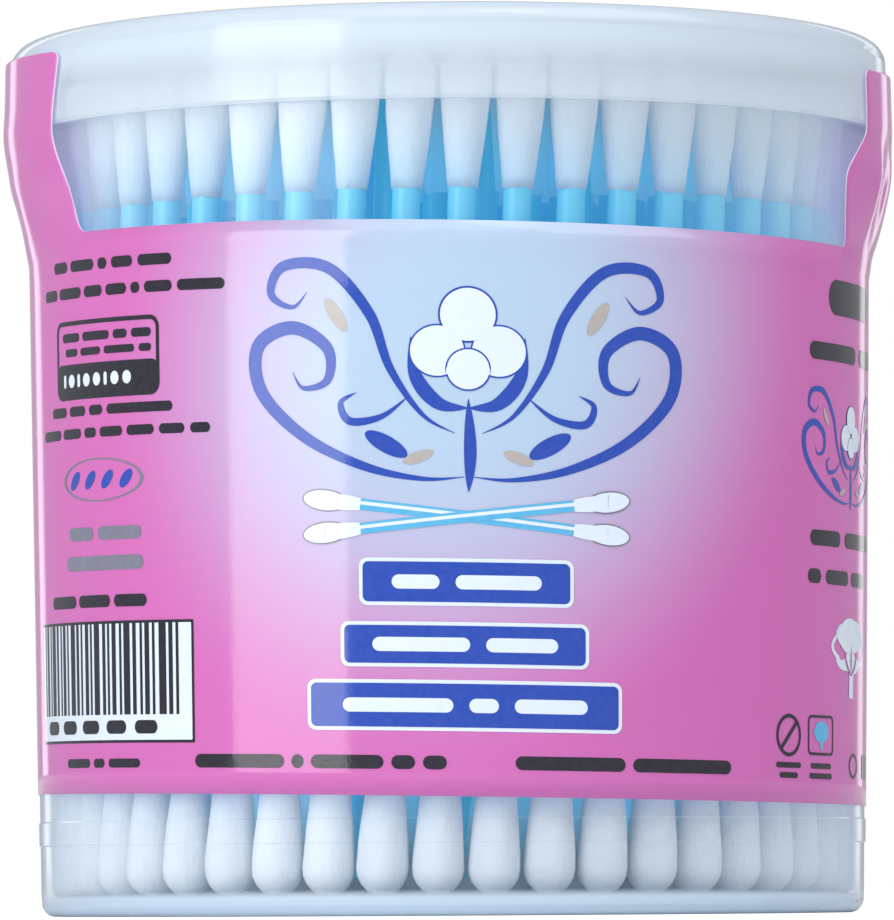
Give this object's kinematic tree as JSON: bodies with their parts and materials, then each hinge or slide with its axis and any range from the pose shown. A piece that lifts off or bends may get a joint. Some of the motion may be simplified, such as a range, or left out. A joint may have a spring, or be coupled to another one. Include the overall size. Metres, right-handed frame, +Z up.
{
  "type": "cotton swab tub",
  "caption": "Round frosted plastic tub with a push-on lid, wrapped in a film label with tabs over the lid and filled with upright cotton swabs.",
  "frame": {"origin": "centre of the tub's foot on the table", "axes": "+Z up along the tub's axis, -Y out of the label's front window, +X to the right as seen from the front"},
  "size_m": [0.082, 0.0812, 0.0799],
  "materials": {
    "frosted_plastic": "frosted, see-through polypropylene",
    "label_film": "glossy printed film",
    "stick_plastic": "smooth blue plastic",
    "cotton": "matt cotton fibre"
  },
  "bodies": {
    "tub_body": {"tub": "frosted_plastic", "label": "label_film", "sticks_row_1": "stick_plastic", "sticks_row_2": "stick_plastic", "sticks_row_3": "stick_plastic", "sticks_row_4": "stick_plastic", "sticks_row_5": "stick_plastic", "sticks_row_6": "stick_plastic", "sticks_row_7": "stick_plastic", "sticks_row_8": "stick_plastic", "lower_tips_row_1": "cotton", "lower_tips_row_2": "cotton", "lower_tips_row_3": "cotton", "lower_tips_row_4": "cotton", "lower_tips_row_5": "cotton", "lower_tips_row_6": "cotton", "lower_tips_row_7": "cotton", "lower_tips_row_8": "cotton", "upper_tips_row_1": "cotton", "upper_tips_row_2": "cotton", "upper_tips_row_3": "cotton", "upper_tips_row_4": "cotton", "upper_tips_row_5": "cotton", "upper_tips_row_6": "cotton", "upper_tips_row_7": "cotton", "upper_tips_row_8": "cotton"},
    "lid_body": {"lid": "frosted_plastic"}
  },
  "joints": [
    {"name": "lid_lift", "type": "slide", "parent": "tub_body", "child": "lid_body", "axis": [0, 0, 1], "range_m": [0, 0.04]}
  ]
}
